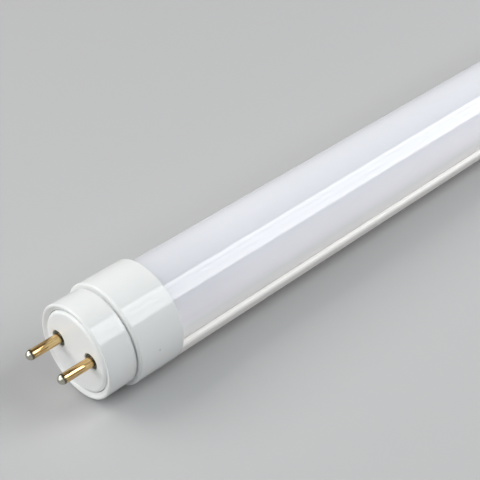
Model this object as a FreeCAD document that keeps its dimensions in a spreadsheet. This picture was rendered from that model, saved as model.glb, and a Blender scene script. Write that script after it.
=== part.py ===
import FreeCAD, Part
import math
import operator
import os
import Sketcher

from FreeCAD import Placement, Rotation, Vector

# An LED tube lamp with bi-pin caps, lying on its base.
# +X runs along the tube, +Z is up. The origin is on the floor under the middle of the tube.
# Every piece is drawn about the tube's own axis and lifted to its height by its placement.
# The end pieces are drawn with X = 0 at the cap's front face and X growing into the tube.

SIZES = {
    # whole lamp
    "FaceToFace": 589.0,
    "CollarRadius": 14.5,
    # end cap, depths from the cap's front face
    "DishDepth": 0.7,
    "ShoulderDepth": 9.1,
    "StopDepth": 11.6,
    "CapDepth": 23.3,
    "TongueLength": 9.0,
    "TongueAngle": 84.0,
    "LedgeThickness": 1.6,
    "LedgeAngle": 48.0,
    # pin plate
    "PlateThickness": 2.0,
    "HookLength": 0.9,
    "FingerAngle": 40.0,
    "BarDepth": 3.6,
    "SeatDepth": 0.7,
    # contact pin
    "PinReach": 9.9,
    "FlangeThickness": 0.45,
    "TailLength": 2.4,
    # light board
    "BoardSetback": 0.5,
    "ChipLength": 3.5,
    "ChipMargin": 8.0,
    "ChipCount": 48,
    # driver
    "DriverDepth": 42.0,
    "DriverLength": 106.0,
    "SleeveOverhang": 3.0,
    "FuseLength": 9.0,
    "FilmLength": 10.0,
    "BridgeLength": 4.7,
    "ControllerLength": 4.9,
    "CoreLength": 12.0,
    "CoreSide": 1.6,
    "DiodeLength": 4.3,
    "CapacitorLength": 11.0,
    "CapacitorGroovePlace": 1.2,
    "CapacitorGrooveLength": 0.9,
    # wires
    "PinLeadRun": 5.5,
    "PinLeadSlope": 6.0,
    "DriverLanding": 3.0,
    "OutputLeadLoop": 4.0,
    "BoardLanding": 4.5,
    # clearances
    "PlateGap": 0.1,
    "PinGap": 0.05,
    "DiffuserGap": 0.1,
    "DiffuserEndGap": 0.2,
    "EndGap": 0.1,
    "TongueGap": 0.15,
    "BoardGap": 0.1,
    "BoardSideGap": 0.15,
    "SleeveGap": 0.2,
    "DriverGap": 0.2,
    "PartGap": 0.1,
    "WindingGap": 0.15,
    "LeadGap": 0.05,
}
# Sizes across the tube, for the collar radius given first. They follow the real one in proportion.
ACROSS = {
    "DrawnCollarRadius": 14.5,
    # end cap
    "NoseRadius": 13.38,
    "LipRadius": 12.65,
    "LedgeRadius": 9.7,
    "TongueThickness": 1.5,
    "NoseBevel": 0.55,
    "NoseEase": 0.16,
    "ShoulderBevel": 0.5,
    # pin plate
    "PlateRadius": 11.5,
    "PlateBevel": 0.8,
    "FingerWall": 1.3,
    "HookHeight": 0.45,
    "BarWidth": 5.2,
    "BarEnd": 2.6,
    "SeatRadius": 2.3,
    # contact pin
    "PinSpacing": 12.7,
    "PinRaise": 0.9,
    "PinRadius": 1.38,
    "FlangeRadius": 2.15,
    "TailRadius": 1.0,
    # base extrusion, heights from the tube's axis
    "BaseRadius": 14.36,
    "BaseWall": 1.4,
    "LipDrop": 3.4,
    "LipRounding": 0.45,
    "GrooveDrop": 5.2,
    "GrooveFloor": 1.2,
    "RailDrop": 0.4,
    "RailHook": 0.55,
    "LegWall": 1.3,
    "ShelfThickness": 1.2,
    # diffuser
    "DiffuserRadius": 12.75,
    "DiffuserWall": 1.2,
    # light board
    "BoardHalfWidth": 9.8,
    "BoardThickness": 1.2,
    "ChipWidth": 2.8,
    "ChipHeight": 0.7,
    # driver
    "DriverHalfWidth": 8.0,
    "DriverThickness": 1.0,
    "SleeveWall": 0.4,
    "FuseOffset": 4.2,
    "FuseRadius": 1.6,
    "InductorOffset": 3.2,
    "InductorRadius": 2.9,
    "InductorHeight": 4.0,
    "InductorFlange": 0.8,
    "InductorWaist": 0.6,
    "FilmWidth": 4.5,
    "FilmHeight": 4.5,
    "BridgeWidth": 3.9,
    "BridgeHeight": 1.6,
    "ControllerWidth": 3.9,
    "ControllerHeight": 1.5,
    "CoreWidth": 9.6,
    "CoreHeight": 3.4,
    "CoreLeg": 2.6,
    "WindingHeight": 4.5,
    "WindingThickness": 1.2,
    "DiodeWidth": 2.6,
    "DiodeHeight": 2.1,
    "CapacitorRadius": 2.5,
    "CapacitorGroove": 0.3,
    "PartBevel": 0.3,
    # wires
    "LeadRadius": 0.55,
    "LeadCorner": 1.6,
    "OutputLeadGap": 3.6,
}
# Places on the driver board from its front edge, for the board length given first. They follow the real one.
PLACES = {
    "DrawnDriverLength": 106.0,
    "FusePlace": 8.0,
    "InductorPlace": 12.5,
    "FilmPlace": 20.0,
    "BridgePlace": 34.0,
    "InputCapPlace": 42.0,
    "ControllerPlace": 57.0,
    "CorePlace": 66.0,
    "DiodePlace": 82.0,
    "OutputCapPlace": 90.0,
}
BLOCKS = {
    "film_capacitor": "Film",
    "bridge_rectifier": "Bridge",
    "controller_chip": "Controller",
    "output_diode": "Diode",
}
BOTH_SIDES = (1, -1)
TOLERANCE = 1e-3
MITRED = 1  # how the pipe command names corners cut to meet each other

lamp = FreeCAD.newDocument("tube_lamp")


# sizes

def joined(symbol, work):
    """Give an operation on two sizes that keeps both the value and the expression."""
    def operate(first, second):
        first, second = as_size(first), as_size(second)
        return Size(work(first.value, second.value), f"({first.text} {symbol} {second.text})")
    return operate


class Size:
    """A length, with its value and the expression that ties it to the sheet."""

    def __init__(self, value, text):
        self.value = value
        self.text = text

    __add__ = joined("+", operator.add)
    __sub__ = joined("-", operator.sub)
    __mul__ = joined("*", operator.mul)
    __truediv__ = joined("/", operator.truediv)

    def __neg__(self):
        return Size(-self.value, f"(0 - {self.text})")


def as_size(number):
    return number if isinstance(number, Size) else Size(float(number), repr(float(number)))


def across(radius, height):
    """How far from the middle a circle about the axis lies at a height."""
    value = math.sqrt(radius.value ** 2 - height.value ** 2)
    return Size(value, f"sqrt({radius.text} ^ 2 - {height.text} ^ 2)")


def fill_sheet():
    """Fill the sheet, and give each size by its name, in proportion where it follows another."""
    sheet = lamp.addObject("Spreadsheet::Sheet", "Sizes")
    values = {**SIZES, **ACROSS, **PLACES}
    for row, (alias, value) in enumerate(values.items(), 1):
        sheet.set(f"A{row}", alias)
        sheet.set(f"B{row}", str(value))
        sheet.setAlias(f"B{row}", alias)
    lamp.recompute()
    sizes = {alias: Size(float(sheet.get(alias)), f"Sizes.{alias}") for alias in values}
    followers = (
        (ACROSS, sizes["CollarRadius"] / sizes["DrawnCollarRadius"]),
        (PLACES, sizes["DriverLength"] / sizes["DrawnDriverLength"]),
    )
    for names, share in followers:
        for alias in names:
            sizes[alias] = sizes[alias] * share
    return sizes


size = fill_sheet()
ZERO = as_size(0)


# places that several pieces share

LEDGE_FRONT = size["PlateThickness"]
LEDGE_BACK = LEDGE_FRONT + size["LedgeThickness"]
BASE_END = size["CapDepth"] + size["EndGap"]
BASE_HALF = size["FaceToFace"] / 2 - BASE_END
SLEEVE_RADIUS = size["DiffuserRadius"] + size["DiffuserGap"]
RAIL_RADIUS = size["DiffuserRadius"] - size["DiffuserWall"] - size["DiffuserGap"]
CAVITY_RADIUS = size["BaseRadius"] - size["BaseWall"]
SHELF_TOP = -size["LipDrop"]
SHELF_BOTTOM = SHELF_TOP - size["ShelfThickness"]
BOARD_TOP = SHELF_TOP + size["BoardThickness"]
HOOK_BOTTOM = BOARD_TOP + size["BoardGap"]
SLOT_HALF = size["BoardHalfWidth"] + size["BoardSideGap"]
GROOVE_BOTTOM = -size["GrooveDrop"]
FLOOR_BOTTOM = GROOVE_BOTTOM - size["GrooveFloor"]
CAVITY_HALF = across(RAIL_RADIUS, GROOVE_BOTTOM) - size["LegWall"]
PLATE_BORE = size["PlateRadius"] + size["PlateGap"]
PIN_OFFSET = size["PinSpacing"] / 2
TAIL_END = size["PlateThickness"] + size["BarDepth"] + size["TailLength"]
SLEEVE_TOP = SHELF_BOTTOM - size["SleeveGap"]
SLEEVE_HALF = CAVITY_HALF - size["SleeveGap"]
SLEEVE_OUTER = CAVITY_RADIUS - size["SleeveGap"]
DRIVER_TOP = SLEEVE_TOP - size["SleeveWall"] - size["DriverGap"]
DRIVER_BOTTOM = DRIVER_TOP - size["DriverThickness"]
PARTS_TOP = DRIVER_BOTTOM - size["PartGap"]
LEAD_LEVEL = DRIVER_BOTTOM - size["LeadGap"] - size["LeadRadius"]


# drawing

def new_body(name):
    body = lamp.addObject("PartDesign::Body", name)
    body.Label = name
    return body


def new_sketch(body, name, plane, offset=None):
    """Start a sketch on one of the body's origin planes, or at a distance in front of it."""
    sketch = body.newObject("Sketcher::SketchObject", name)
    face = next(item for item in body.Origin.OriginFeatures if item.Role == plane)
    sketch.AttachmentSupport = (face, "")
    sketch.MapMode = "FlatFace"
    if offset is not None:
        sketch.setExpression("AttachmentOffset.Base.z", offset.text)
    return sketch


def tie(sketch, rules):
    """Add constraints, each with the size that drives it, or None where it has none."""
    numbers = sketch.addConstraint([rule for rule, _ in rules])
    for number, (_, driver) in zip(numbers, rules):
        if driver is not None:
            sketch.setExpression(f"Constraints[{number}]", driver.text)


def at_point(side, end, x, y):
    """The two constraints that hold a point of a side at x and y from the origin."""
    rules = []
    for kind, axis, place in (("DistanceX", -2, x), ("DistanceY", -1, y)):
        if abs(place.value) < TOLERANCE:
            rules.append((Sketcher.Constraint("PointOnObject", side, end, axis), None))
        else:
            rules.append((Sketcher.Constraint(kind, -1, 1, side, end, place.value), place))
    return rules


def arc_between(start, finish, radius, bend):
    """The shorter arc from start to finish, bending left or right of the way it goes."""
    chord = finish - start
    rise = math.sqrt(radius ** 2 - chord.Length ** 2 / 4)
    left = Vector(-chord.y, chord.x, 0).normalize()
    centre = (start + finish) / 2 + left * (rise if bend == "left" else -rise)
    first, last = (start, finish) if bend == "left" else (finish, start)
    angles = [math.atan2(point.y - centre.y, point.x - centre.x) for point in (first, last)]
    if angles[1] < angles[0]:
        angles[1] += 2 * math.pi
    return Part.ArcOfCircle(Part.Circle(centre, Vector(0, 0, 1), radius), angles[0], angles[1])


def outline(sketch, corners, arcs=None):
    """Draw a closed outline through corners, each an (across, up) pair of sizes.

    arcs gives the side that leaves a corner a radius and the way it bends, left or right.
    """
    arcs = arcs or {}
    points = [Vector(x.value, y.value, 0) for x, y in corners]
    sides, starts, ends = [], [], []
    for index, start in enumerate(points):
        finish = points[(index + 1) % len(points)]
        if index in arcs:
            radius, bend = arcs[index]
            sides.append(sketch.addGeometry(arc_between(start, finish, radius.value, bend), False))
            forward = bend == "left"
        else:
            sides.append(sketch.addGeometry(Part.LineSegment(start, finish), False))
            forward = True
        starts.append(1 if forward else 2)
        ends.append(2 if forward else 1)
    rules = []
    for index, (x, y) in enumerate(corners):
        joint = (sides[index - 1], ends[index - 1], sides[index], starts[index])
        rules.append((Sketcher.Constraint("Coincident", *joint), None))
        rules += at_point(sides[index], starts[index], x, y)
        if index in arcs:
            radius = arcs[index][0]
            rules.append((Sketcher.Constraint("Radius", sides[index], radius.value), radius))
    tie(sketch, rules)


def circle(sketch, x, y, radius):
    centre = Vector(x.value, y.value, 0)
    ring = sketch.addGeometry(Part.Circle(centre, Vector(0, 0, 1), radius.value), False)
    rules = at_point(ring, 3, x, y)
    rules.append((Sketcher.Constraint("Radius", ring, radius.value), radius))
    tie(sketch, rules)


def rectangle(sketch, left, right, bottom, top):
    outline(sketch, [(left, bottom), (right, bottom), (right, top), (left, top)])


def mirrored(corners):
    """The same corners on the other side of the middle, in the order that goes on round."""
    return [(-x, y) for x, y in reversed(corners)]


# features

def pad(body, sketch, length, symmetric=False):
    feature = body.newObject("PartDesign::Pad", "pad")
    feature.Profile = sketch
    feature.SideType = "Symmetric" if symmetric else "One side"
    feature.setExpression("Length", length.text)
    return feature


def pocket(body, sketch, depth=None):
    """Cut towards the side that the sketch's plane faces, to a depth or right through."""
    feature = body.newObject("PartDesign::Pocket", "pocket")
    feature.Profile = sketch
    feature.Reversed = True
    if depth is None:
        feature.Type = "ThroughAll"
    else:
        feature.setExpression("Length", depth.text)
    return feature


def revolve(body, sketch, angle=None):
    """Turn a sketch about its own level axis, the whole way or by an angle shared to both sides."""
    feature = body.newObject("PartDesign::Revolution", "turning")
    feature.Profile = sketch
    feature.ReferenceAxis = (sketch, ["H_Axis"])
    feature.Angle = 360
    if angle is not None:
        feature.Midplane = True
        feature.setExpression("Angle", angle.text)
    return feature


def dress_edges(body, kind, extent, amount, wanted):
    """Cut back the edges of the body so far that the test picks out."""
    lamp.recompute()
    tip = body.Tip
    names = [f"Edge{number}" for number, edge in enumerate(tip.Shape.Edges, 1) if wanted(edge)]
    if not names:
        raise ValueError(f"{body.Label} has no such edge")
    feature = body.newObject(f"PartDesign::{kind}", kind.lower())
    feature.Base = (tip, names)
    feature.setExpression(extent, amount.text)
    return feature


def round_edges(body, radius, wanted):
    return dress_edges(body, "Fillet", "Radius", radius, wanted)


def bevel_edges(body, width, wanted):
    return dress_edges(body, "Chamfer", "Size", width, wanted)


def on_both_sides(body, feature, sketch):
    """Repeat a feature on the other side of the sketch's level axis."""
    pattern = body.newObject("PartDesign::PolarPattern", "pair")
    pattern.Originals = [feature]
    pattern.Axis = (sketch, ["H_Axis"])
    pattern.Angle = 360
    pattern.Occurrences = len(BOTH_SIDES)
    body.Tip = pattern
    return pattern


def near(value, place):
    return abs(value - place.value) < TOLERANCE


def ring_edge(depth, radius):
    """A test for circular edges about the axis."""
    def wanted(edge):
        curve = edge.Curve
        return isinstance(curve, Part.Circle) and near(curve.Radius, radius) and near(curve.Center.x, depth)
    return wanted


def long_edge(y, z):
    """A test for straight edges along the tube, on both sides of the middle."""
    def wanted(edge):
        ends = [vertex.Point for vertex in edge.Vertexes]
        return all(near(abs(point.y), y) and near(point.z, z) for point in ends)
    return wanted


def upright_edge(edge):
    ends = [vertex.Point for vertex in edge.Vertexes]
    level = (ends[0] - ends[-1]).cross(Vector(0, 0, 1)).Length
    return len(ends) == 2 and level < TOLERANCE


def place(piece, x=ZERO, y=ZERO, turned=False, raised=ZERO):
    """Put a piece at its place along the lamp, its axis at or above the height of the collars' radius."""
    height = size["CollarRadius"] + raised
    turn = Rotation(Vector(0, 0, 1), 180 if turned else 0)
    piece.Placement = Placement(Vector(x.value, y.value, height.value), turn)
    for letter, driver in (("x", x), ("y", y), ("z", height)):
        piece.setExpression(f"Placement.Base.{letter}", driver.text)


# end caps

def end_cap(name, x, turned):
    """Moulded cap: dished nose, shoulder and collar, two ledges for the plate and a tongue for the base."""
    body = new_body(name)
    section = new_sketch(body, "section", "XZ_Plane")
    outline(section, [
        (ZERO, size["LipRadius"]),
        (ZERO, size["NoseRadius"] - size["NoseBevel"]),
        (size["NoseEase"], size["NoseRadius"] - size["NoseEase"]),
        (size["NoseBevel"], size["NoseRadius"]),
        (size["ShoulderDepth"], size["NoseRadius"]),
        (size["ShoulderDepth"], size["CollarRadius"]),
        (size["CapDepth"], size["CollarRadius"]),
        (size["CapDepth"], SLEEVE_RADIUS),
        (size["StopDepth"], SLEEVE_RADIUS),
        (size["StopDepth"], PLATE_BORE),
        (size["DishDepth"], PLATE_BORE),
    ])
    revolve(body, section)
    in_nose = (PLATE_BORE + size["NoseRadius"]) / 2
    ledge = new_sketch(body, "ledge_section", "XZ_Plane")
    outline(ledge, [
        (LEDGE_FRONT, size["LedgeRadius"]),
        (LEDGE_FRONT, in_nose),
        (LEDGE_BACK, in_nose),
        (LEDGE_BACK, size["LedgeRadius"]),
    ])
    on_both_sides(body, revolve(body, ledge, size["LedgeAngle"]), ledge)
    tongue_outer = CAVITY_RADIUS - size["TongueGap"]
    tongue_inner = tongue_outer - size["TongueThickness"]
    in_collar = (SLEEVE_RADIUS + size["CollarRadius"]) / 2
    tip = size["CapDepth"] + size["TongueLength"]
    tongue = new_sketch(body, "tongue_section", "XZ_Plane")
    outline(tongue, [
        (size["StopDepth"], -in_collar),
        (size["CapDepth"], -in_collar),
        (size["CapDepth"], -tongue_outer),
        (tip, -tongue_outer),
        (tip, -tongue_inner),
        (size["StopDepth"], -tongue_inner),
    ])
    revolve(body, tongue, size["TongueAngle"])
    bevel_edges(body, size["ShoulderBevel"], ring_edge(size["ShoulderDepth"], size["CollarRadius"]))
    place(body, x, turned=turned)
    return body


def pin_plate(name, x, turned):
    """Round plate with two fingers that click in behind the cap's ledges, and a bar that grips the pins."""
    body = new_body(name)
    section = new_sketch(body, "section", "XZ_Plane")
    outline(section, [
        (ZERO, ZERO),
        (ZERO, size["PlateRadius"]),
        (size["PlateThickness"], size["PlateRadius"]),
        (size["PlateThickness"], ZERO),
    ])
    revolve(body, section)
    bevel_edges(body, size["PlateBevel"], ring_edge(ZERO, size["PlateRadius"]))
    in_plate = size["PlateThickness"] / 2
    outer = size["LedgeRadius"] - size["PlateGap"] * 2
    inner = outer - size["FingerWall"]
    hook_front = LEDGE_BACK + size["PlateGap"]
    hook_back = hook_front + size["HookLength"]
    finger = new_sketch(body, "finger_section", "XZ_Plane")
    outline(finger, [
        (in_plate, inner),
        (in_plate, outer),
        (hook_front, outer),
        (hook_front, outer + size["HookHeight"]),
        (hook_back, outer),
        (hook_back, inner),
    ])
    on_both_sides(body, revolve(body, finger, size["FingerAngle"]), finger)
    bar = new_sketch(body, "bar_section", "YZ_Plane", in_plate)
    half = PIN_OFFSET + size["BarEnd"]
    raised = size["PinRaise"]
    rectangle(bar, -half, half, raised - size["BarWidth"] / 2, raised + size["BarWidth"] / 2)
    pad(body, bar, size["BarDepth"] + size["PlateThickness"] - in_plate)
    for cut, radius, depth in (
        ("pin_holes", size["TailRadius"] + size["PinGap"], None),
        ("pin_seats", size["SeatRadius"], size["SeatDepth"]),
    ):
        holes = new_sketch(body, cut, "YZ_Plane")
        for side in BOTH_SIDES:
            circle(holes, PIN_OFFSET * side, raised, radius)
        pocket(body, holes, depth)
    place(body, x, turned=turned)
    return body


def contact_pin(name, x, y, turned):
    """Turned pin: domed tip, straight shank, flange down in the plate's seat, and a tail for the wire."""
    body = new_body(name)
    radius = size["PinRadius"]
    flange_back = size["SeatDepth"]
    flange_front = flange_back - size["FlangeThickness"]
    section = new_sketch(body, "section", "XZ_Plane")
    outline(section, [
        (-size["PinReach"], ZERO),
        (radius - size["PinReach"], radius),
        (flange_front, radius),
        (flange_front, size["FlangeRadius"]),
        (flange_back, size["FlangeRadius"]),
        (flange_back, size["TailRadius"]),
        (TAIL_END, size["TailRadius"]),
        (TAIL_END, ZERO),
    ], {0: (radius, "right")})
    revolve(body, section)
    place(body, x, y, turned, size["PinRaise"])
    return body


# base and diffuser

def base_profile():
    """Extruded base: half-round wall with proud lips, cover grooves, hooked board rails and a shelf."""
    body = new_body("base_profile")
    rail_top = -size["RailDrop"]
    hook_half = SLOT_HALF - size["RailHook"]
    outer = size["BaseRadius"]
    lip_edge = across(outer, SHELF_TOP)
    right = [
        (SLOT_HALF, SHELF_TOP),
        (SLOT_HALF, HOOK_BOTTOM),
        (hook_half, HOOK_BOTTOM),
        (hook_half, rail_top),
        (across(RAIL_RADIUS, rail_top), rail_top),
        (across(RAIL_RADIUS, GROOVE_BOTTOM), GROOVE_BOTTOM),
        (across(SLEEVE_RADIUS, GROOVE_BOTTOM), GROOVE_BOTTOM),
        (across(SLEEVE_RADIUS, SHELF_TOP), SHELF_TOP),
        (lip_edge, SHELF_TOP),
    ]
    arcs = {4: (RAIL_RADIUS, "right"), 6: (SLEEVE_RADIUS, "left"), 8: (outer, "right"), 9: (outer, "right"),
            11: (SLEEVE_RADIUS, "left"), 13: (RAIL_RADIUS, "right")}
    section = new_sketch(body, "section", "YZ_Plane")
    outline(section, right + [(ZERO, -outer)] + mirrored(right), arcs)
    cavity = [
        (CAVITY_HALF, SHELF_BOTTOM),
        (CAVITY_HALF, FLOOR_BOTTOM),
        (across(CAVITY_RADIUS, FLOOR_BOTTOM), FLOOR_BOTTOM),
    ]
    outline(section, cavity + [(ZERO, -CAVITY_RADIUS)] + mirrored(cavity),
            {2: (CAVITY_RADIUS, "right"), 3: (CAVITY_RADIUS, "right")})
    pad(body, section, BASE_HALF * 2, symmetric=True)
    round_edges(body, size["LipRounding"], long_edge(lip_edge, SHELF_TOP))
    place(body)
    return body


def diffuser():
    """Extruded milky cover, its edges down in the base's grooves and its ends inside the collars."""
    body = new_body("diffuser")
    outer = size["DiffuserRadius"]
    inner = outer - size["DiffuserWall"]
    edge = GROOVE_BOTTOM + size["DiffuserGap"] * 2
    half = size["FaceToFace"] / 2 - size["StopDepth"] - size["DiffuserEndGap"]
    section = new_sketch(body, "section", "YZ_Plane")
    outline(section, [
        (across(outer, edge), edge),
        (ZERO, outer),
        (-across(outer, edge), edge),
        (-across(inner, edge), edge),
        (ZERO, inner),
        (across(inner, edge), edge),
    ], {0: (outer, "left"), 1: (outer, "left"), 3: (inner, "right"), 4: (inner, "right")})
    pad(body, section, half * 2, symmetric=True)
    place(body)
    return body


# light board

def led_board():
    body = new_body("led_board")
    half = size["BoardHalfWidth"]
    section = new_sketch(body, "section", "YZ_Plane")
    rectangle(section, -half, half, SHELF_TOP, BOARD_TOP)
    pad(body, section, (BASE_HALF - size["BoardSetback"]) * 2, symmetric=True)
    place(body)
    return body


def led_chips():
    """A row of light-emitting packages down the middle of the board."""
    body = new_body("led_chips")
    body.AllowCompound = True
    first = size["BoardSetback"] + size["ChipMargin"] - BASE_HALF
    plan = new_sketch(body, "first_chip", "XY_Plane", BOARD_TOP)
    rectangle(plan, first, first + size["ChipLength"], -size["ChipWidth"] / 2, size["ChipWidth"] / 2)
    chip = pad(body, plan, size["ChipHeight"])
    row = body.newObject("PartDesign::LinearPattern", "row")
    row.Originals = [chip]
    row.Direction = (plan, ["H_Axis"])
    row.setExpression("Length", (-first * 2 - size["ChipLength"]).text)
    row.setExpression("Occurrences", size["ChipCount"].text)
    body.Tip = row
    place(body)
    return body


# driver

def driver_place():
    return size["DriverDepth"] - size["FaceToFace"] / 2


def hanging_block(name, start, length, width, height):
    """A block that hangs from the middle of the driver board's parts side."""
    body = new_body(name)
    plan = new_sketch(body, "plan", "XY_Plane", PARTS_TOP - height)
    rectangle(plan, start, start + length, -width / 2, width / 2)
    pad(body, plan, height)
    bevel_edges(body, size["PartBevel"], upright_edge)
    place(body, driver_place())
    return body


def driver_sleeve():
    """Insulating sleeve of the cavity's own D shape."""
    body = new_body("driver_sleeve")
    section = new_sketch(body, "section", "YZ_Plane", -size["SleeveOverhang"])
    for inset in (ZERO, size["SleeveWall"]):
        half = SLEEVE_HALF - inset
        radius = SLEEVE_OUTER - inset
        depth = across(radius, half)
        outline(section, [
            (half, SLEEVE_TOP - inset),
            (half, -depth),
            (ZERO, -radius),
            (-half, -depth),
            (-half, SLEEVE_TOP - inset),
        ], {1: (radius, "right"), 2: (radius, "right")})
    pad(body, section, size["DriverLength"] + size["SleeveOverhang"] * 2)
    place(body, driver_place())
    return body


def driver_board():
    body = new_body("driver_board")
    half = size["DriverHalfWidth"]
    section = new_sketch(body, "section", "YZ_Plane")
    rectangle(section, -half, half, DRIVER_BOTTOM, DRIVER_TOP)
    pad(body, section, size["DriverLength"])
    place(body, driver_place())
    return body


def turned_part(name, start, y, drop, corners):
    """A part turned about a line along the lamp, its section's corners given along and out from that line."""
    body = new_body(name)
    section = new_sketch(body, "section", "XZ_Plane")
    outline(section, [(ZERO, ZERO)] + corners + [(corners[-1][0], ZERO)])
    revolve(body, section)
    place(body, driver_place() + start, y)
    body.setExpression("Placement.Base.z", (size["CollarRadius"] + drop).text)
    return body


def capacitor(name, start):
    """Electrolytic capacitor lying along the board, with the rolled groove near its sealed end."""
    radius, length = size["CapacitorRadius"], size["CapacitorLength"]
    groove = size["CapacitorGroove"]
    groove_start = size["CapacitorGroovePlace"]
    groove_end = groove_start + size["CapacitorGrooveLength"]
    return turned_part(name, start, ZERO, PARTS_TOP - radius, [
        (ZERO, radius),
        (groove_start, radius),
        (groove_start + groove, radius - groove),
        (groove_end - groove, radius - groove),
        (groove_end, radius),
        (length, radius),
    ])


def fuse_resistor():
    radius = size["FuseRadius"]
    return turned_part("fuse_resistor", size["FusePlace"], size["FuseOffset"], PARTS_TOP - radius,
                       [(ZERO, radius), (size["FuseLength"], radius)])


def filter_inductor():
    """Drum inductor, its axis upright, with a flange above and below the winding."""
    body = new_body("filter_inductor")
    bottom = PARTS_TOP - size["InductorHeight"]
    x, y = size["InductorPlace"], -size["InductorOffset"]
    waist = size["InductorRadius"] - size["InductorWaist"]
    flange = size["InductorFlange"]
    layers = (
        (bottom, size["InductorRadius"], flange),
        (bottom + flange, waist, size["InductorHeight"] - flange * 2),
        (PARTS_TOP - flange, size["InductorRadius"], flange),
    )
    for level, radius, height in layers:
        layer = new_sketch(body, "layer", "XY_Plane", level)
        circle(layer, x, y, radius)
        pad(body, layer, height)
    place(body, driver_place())
    return body


def transformer_core():
    """Ferrite frame with a leg down its middle, open above and below for the winding."""
    body = new_body("transformer_core")
    drop = (size["WindingHeight"] - size["CoreHeight"]) / 2
    bottom = PARTS_TOP - drop - size["CoreHeight"]
    start = size["CorePlace"]
    half = size["CoreWidth"] / 2
    leg = size["CoreLeg"] / 2
    side = size["CoreSide"]
    plan = new_sketch(body, "plan", "XY_Plane", bottom)
    rectangle(plan, start, start + size["CoreLength"], -half, half)
    rectangle(plan, start + side, start + size["CoreLength"] - side, leg, half - side)
    rectangle(plan, start + side, start + size["CoreLength"] - side, side - half, -leg)
    pad(body, plan, size["CoreHeight"])
    place(body, driver_place())
    return body


def transformer_winding():
    """Taped winding round the core's middle leg, standing out above and below it."""
    body = new_body("transformer_winding")
    gap = size["WindingGap"]
    start = size["CorePlace"] + size["CoreSide"] + gap
    finish = size["CorePlace"] + size["CoreLength"] - size["CoreSide"] - gap
    inner = size["CoreLeg"] / 2 + gap
    height = size["WindingHeight"] / 2
    middle = PARTS_TOP - height
    inner_height = size["CoreHeight"] / 2 + gap
    section = new_sketch(body, "section", "YZ_Plane", start)
    outer = inner + size["WindingThickness"]
    rectangle(section, -outer, outer, middle - height, middle + height)
    rectangle(section, -inner, inner, middle - inner_height, middle + inner_height)
    pad(body, section, finish - start)
    place(body, driver_place())
    return body


# wires

def wire(name, points, x, turned=False):
    """A wire of one thickness along straight runs that meet in mitres."""
    runs = [Part.LineSegment(start, finish).toShape() for start, finish in zip(points, points[1:])]
    spine = Part.Wire(runs)
    radius = size["LeadRadius"].value
    rim = Part.Wire([Part.makeCircle(radius, points[0], points[1] - points[0])])
    tube = spine.makePipeShell([rim], True, False, MITRED)
    expected = math.pi * radius ** 2 * spine.Length
    if abs(tube.Volume - expected) > expected / 100:
        raise ValueError(f"{name} has volume {tube.Volume}, not {expected}")
    piece = lamp.addObject("Part::Feature", name)
    piece.Label = name
    piece.Shape = tube
    place(piece, x, turned=turned)
    return piece


def eased(points):
    """The same run of points with each inner corner cut off, so that the wire turns in two steps."""
    cut = size["LeadCorner"].value
    run = [points[0]]
    for before, corner, after in zip(points, points[1:], points[2:]):
        back, ahead = before - corner, after - corner
        run += [corner + back.normalize() * cut, corner + ahead.normalize() * cut]
    return run + [points[-1]]


def pin_lead(name, side, x):
    """Wire from a front pin's tail down into the cavity and along to the driver board."""
    y = PIN_OFFSET.value * side
    raised = size["PinRaise"].value
    tail = TAIL_END.value
    bend = tail + size["PinLeadRun"].value
    foot = bend + size["PinLeadSlope"].value
    landing = size["DriverDepth"].value + size["DriverLanding"].value
    level = LEAD_LEVEL.value
    points = [Vector(tail, y, raised), Vector(bend, y, raised), Vector(foot, y, level),
              Vector(landing, y, level)]
    return wire(name, points, x)


def output_lead(name, side, x):
    """Wire from the driver board forward, up round the shelf's end and back to the light board."""
    y = size["OutputLeadGap"].value / 2 * side
    front = BASE_END.value - size["OutputLeadLoop"].value
    driver_end = size["DriverDepth"].value + size["DriverLanding"].value
    board_end = BASE_END.value + size["BoardLanding"].value
    low = LEAD_LEVEL.value
    high = (BOARD_TOP + size["LeadGap"] + size["LeadRadius"]).value
    points = [Vector(driver_end, y, low), Vector(front, y, low), Vector(front, y, high),
              Vector(board_end, y, high)]
    return wire(name, eased(points), x)


def pin_bridge(name, x):
    """Wire that joins the two pins of the end that only holds the lamp."""
    y = PIN_OFFSET.value
    raised = size["PinRaise"].value
    tail = TAIL_END.value
    bend = tail + size["PinLeadRun"].value
    points = [Vector(tail, y, raised), Vector(bend, y, raised), Vector(bend, -y, raised),
              Vector(tail, -y, raised)]
    return wire(name, eased(points), x, turned=True)


# the lamp

def build_lamp():
    front = -size["FaceToFace"] / 2
    rear = size["FaceToFace"] / 2
    pieces = [base_profile(), diffuser(), led_board(), led_chips()]
    for end, x, turned in (("front", front, False), ("rear", rear, True)):
        pieces.append(end_cap(f"end_cap_{end}", x, turned))
        pieces.append(pin_plate(f"pin_plate_{end}", x, turned))
        pieces.append(contact_pin(f"pin_{end}_left", x, PIN_OFFSET, turned))
        pieces.append(contact_pin(f"pin_{end}_right", x, -PIN_OFFSET, turned))
    pieces += [driver_sleeve(), driver_board(), fuse_resistor(), filter_inductor()]
    for label, words in BLOCKS.items():
        pieces.append(hanging_block(label, size[f"{words}Place"], size[f"{words}Length"],
                                    size[f"{words}Width"], size[f"{words}Height"]))
    pieces.append(capacitor("input_capacitor", size["InputCapPlace"]))
    pieces.append(capacitor("output_capacitor", size["OutputCapPlace"]))
    pieces += [transformer_core(), transformer_winding()]
    for word, side in (("left", 1), ("right", -1)):
        pieces.append(pin_lead(f"front_lead_{word}", side, front))
        pieces.append(output_lead(f"output_lead_{word}", side, front))
    pieces.append(pin_bridge("rear_pin_bridge", rear))
    return pieces


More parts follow.
